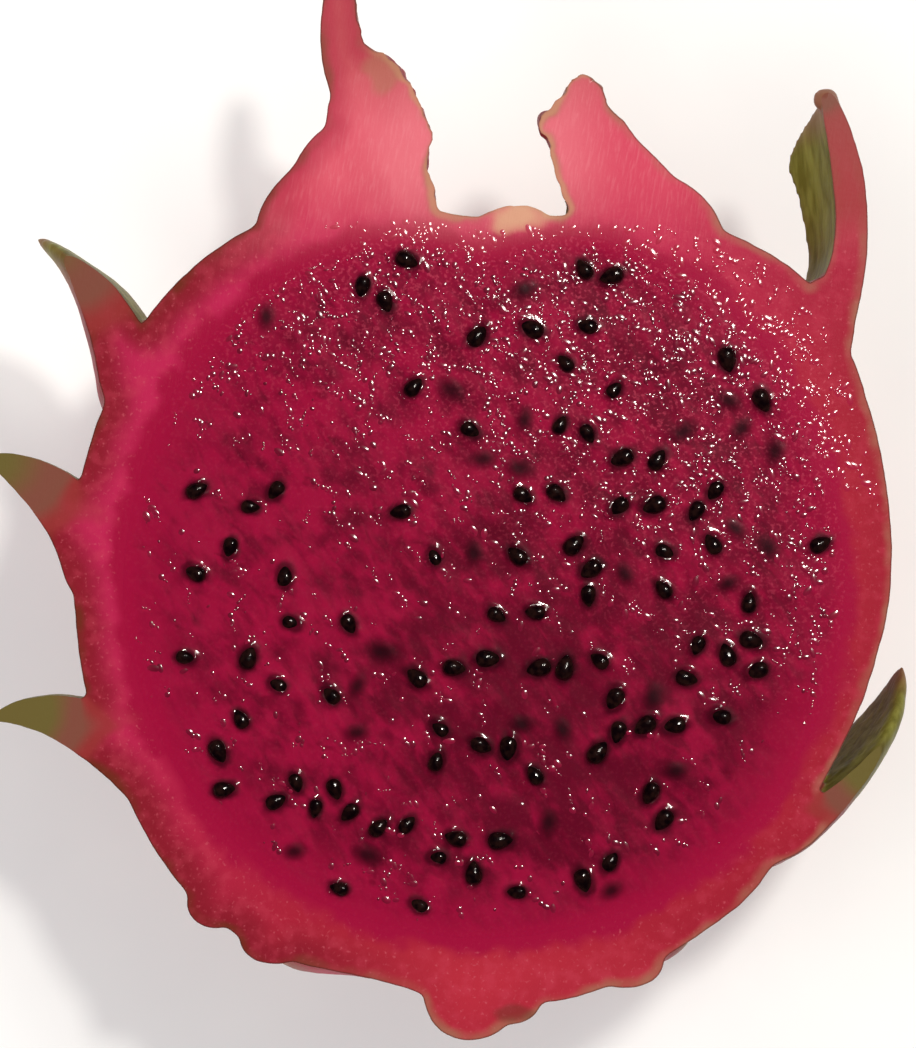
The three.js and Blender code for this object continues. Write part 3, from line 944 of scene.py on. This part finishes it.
def scar_share(paint, centre, radii, most, blotch):
    """A soft patch round a place on the cut face, with a slightly uneven edge."""
    spot = (centre[0] * MM, centre[1] * MM, 0)
    reach = (radii[0] * MM, radii[1] * MM, 1)
    offset = paint.vector("SUBTRACT", paint.place, spot)
    away = paint.vector("LENGTH", paint.vector("DIVIDE", offset, reach), result="Value")
    uneven = paint.maths("ADD", away, paint.range(blotch, 0.3, 0.7, -0.25, 0.25))
    return paint.range(uneven, 1.1, 0.5, 0, most)


def skin_material():
    paint = Paint("peel_skin")
    blotch = paint.noise(10, 2)
    veins = paint.noise(1.0, 3, stretch=(1, 8, 1))
    specks = paint.noise(0.7, 2)
    blade, green = paint.attribute("blade"), paint.attribute("green")
    base = paint.mix(paint.range(blotch, 0.3, 0.7), colour(146, 20, 50), colour(178, 36, 68))
    base = paint.mix(paint.range(specks, 0.62, 0.8, 0, 0.3), base, colour(206, 92, 108))
    base = paint.mix(paint.range(paint.attribute("edge"), 5.0, 0.0, 0, 0.7), base, colour(104, 40, 32))
    leaf = paint.mix(paint.range(veins, 0.3, 0.7), colour(92, 86, 30), colour(122, 118, 54))
    tip = paint.maths("MULTIPLY", blade, green)
    face = paint.maths("MULTIPLY", paint.attribute("inside"), paint.range(green, 0.0, 0.2))
    tinge = paint.maths("MAXIMUM", tip, face)
    tinge = paint.maths("ADD", tinge, paint.range(blotch, 0.3, 0.7, -0.1, 0.1))
    base = paint.mix(paint.range(tinge, 0.08, 0.3, 0, 0.7), base, colour(124, 70, 50))
    leafy = paint.range(tinge, 0.25, 0.7)
    base = paint.mix(leafy, base, leaf)
    # Painted shade on the green faces of the scales, next to the cut edge.
    painted_shade = paint.maths("MULTIPLY", leafy, paint.range(paint.attribute("edge"), 2.5, 0.0, 0, 0.6))
    base = paint.mix(painted_shade, base, colour(70, 54, 24))
    base = paint.mix(paint.range(blade, 0.86, 1.0, 0, 0.8), base, colour(128, 84, 62))
    ridges = paint.maths("MULTIPLY", veins, paint.range(blade, 0.05, 0.5, 0.3, 1.0))
    relief = paint.bump(paint.maths("ADD", ridges, paint.maths("MULTIPLY", specks, 0.4)), 0.12)
    paint.set(Base_Color=base, Roughness=0.5, IOR=1.45, Specular_IOR_Level=0.12, Normal=relief)
    paint.set(Coat_Weight=0.15, Coat_Roughness=0.3)
    return paint.material


def seed_material():
    paint = Paint("black_seed")
    tone = paint.range(paint.noise(0.8, 2), 0.35, 0.7)
    base = paint.mix(tone, colour(8, 2, 4), colour(28, 12, 10))
    relief = paint.bump(paint.noise(0.5, 2), 0.06)
    paint.set(Base_Color=base, Roughness=0.35, IOR=1.45, Specular_IOR_Level=0.05, Normal=relief)
    paint.set(Coat_Weight=0.7, Coat_Roughness=0.06, Coat_IOR=1.5, Coat_Normal=relief)
    return paint.material


def floor_material():
    paint = Paint("pale_floor")
    cloud = paint.range(paint.noise(40, 3), 0.3, 0.7)
    base = paint.mix(cloud, colour(244, 244, 244), colour(249, 249, 248))
    paint.set(Base_Color=base, Roughness=0.8)
    return paint.material


# Stage

CAMERA_HEIGHT = 450  # above the cut face
PHOTO_SCALE = 0.12  # millimetres a pixel of the photograph
PHOTO_SIZE = (916, 1048)
BODY_PIXEL = (484, 600)  # the middle of the cut face in the photograph
SENSOR = 36
FLOOR_HALF = 12.0  # metres
FLOOR_GAP = 0.05  # keeps the resting spot just clear of the floor
WHITE = (1, 1, 1)
WARM = (1, 0.97, 0.89)


def make_camera():
    data = bpy.data.cameras.new("camera")
    data.sensor_width = SENSOR
    data.lens = SENSOR * CAMERA_HEIGHT / (PHOTO_SIZE[1] * PHOTO_SCALE)
    data.clip_start = 0.01
    camera = bpy.data.objects.new("camera", data)
    x = (PHOTO_SIZE[0] / 2 - BODY_PIXEL[0]) * PHOTO_SCALE
    y = (BODY_PIXEL[1] - PHOTO_SIZE[1] / 2) * PHOTO_SCALE
    camera.location = (x * MM, y * MM, (CUT + CAMERA_HEIGHT) * MM)
    bpy.context.scene.collection.objects.link(camera)
    bpy.context.scene.camera = camera


def make_light(name, place, size, power, tint=WHITE, mirrored=True):
    """A round soft light that shines on the middle of the cut face and may show in gloss."""
    data = bpy.data.lights.new(name, "AREA")
    data.shape = "DISK"
    data.size = size * MM
    data.energy = power
    data.color = tint
    light = bpy.data.objects.new(name, data)
    light.visible_glossy = mirrored
    light.location = Vector(place) * MM
    aim = Vector((0, 0, CUT * MM)) - light.location
    light.rotation_euler = aim.to_track_quat("-Z", "Y").to_euler()
    bpy.context.scene.collection.objects.link(light)


def make_world():
    """Soft white light from low all round, dark overhead and not mirrored, so the wet face has no veil."""
    world = bpy.data.worlds.new("studio")
    bpy.context.scene.world = world
    world.use_nodes = True
    nodes, links = world.node_tree.nodes, world.node_tree.links
    split = nodes.new("ShaderNodeSeparateXYZ")
    links.new(nodes.new("ShaderNodeTexCoord").outputs["Generated"], split.inputs["Vector"])
    fade = nodes.new("ShaderNodeMapRange")
    for name, value in (("From Min", 0.75), ("From Max", 0.95), ("To Min", 0.75), ("To Max", 0.02)):
        fade.inputs[name].default_value = value
    links.new(split.outputs["Z"], fade.inputs["Value"])
    links.new(fade.outputs["Result"], nodes["Background"].inputs["Strength"])
    nodes["Background"].inputs["Color"].default_value = (1, 1, 1, 1)
    world.cycles_visibility.glossy = False


def make_stage():
    floor = bpy.data.objects.new("floor", bpy.data.meshes.new("floor"))
    half = FLOOR_HALF
    corners = [(-half, -half), (half, -half), (half, half), (-half, half)]
    floor.data.from_pydata([(x, y, -FLOOR_GAP * MM) for x, y in corners], [], [(0, 1, 2, 3)])
    floor.data.materials.append(floor_material())
    bpy.context.scene.collection.objects.link(floor)
    make_light("key", (240, 280, 600), 160, 1.0, WARM)
    make_light("glint", (140, 175, 550), 50, 1.25, WARM)
    make_light("fill", (-420, -120, 520), 420, 1.5, mirrored=False)
    make_world()
    bpy.context.scene.view_settings.view_transform = "Standard"


def dress(piece, node, materials):
    for material in materials:
        piece.data.materials.append(material)
    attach(piece, "root")
    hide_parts(node)


make_camera()
make_stage()
seeds = seed_places()
dress(peel_piece(), "peel", [skin_material(), section_material()])
flesh = flesh_piece(seeds)
dress(flesh, "flesh", [flesh_material()])
dress(beads_piece(seeds, flesh), "flesh", [bead_material()])
dress(seeds_piece(seeds), "flesh", [seed_material()])
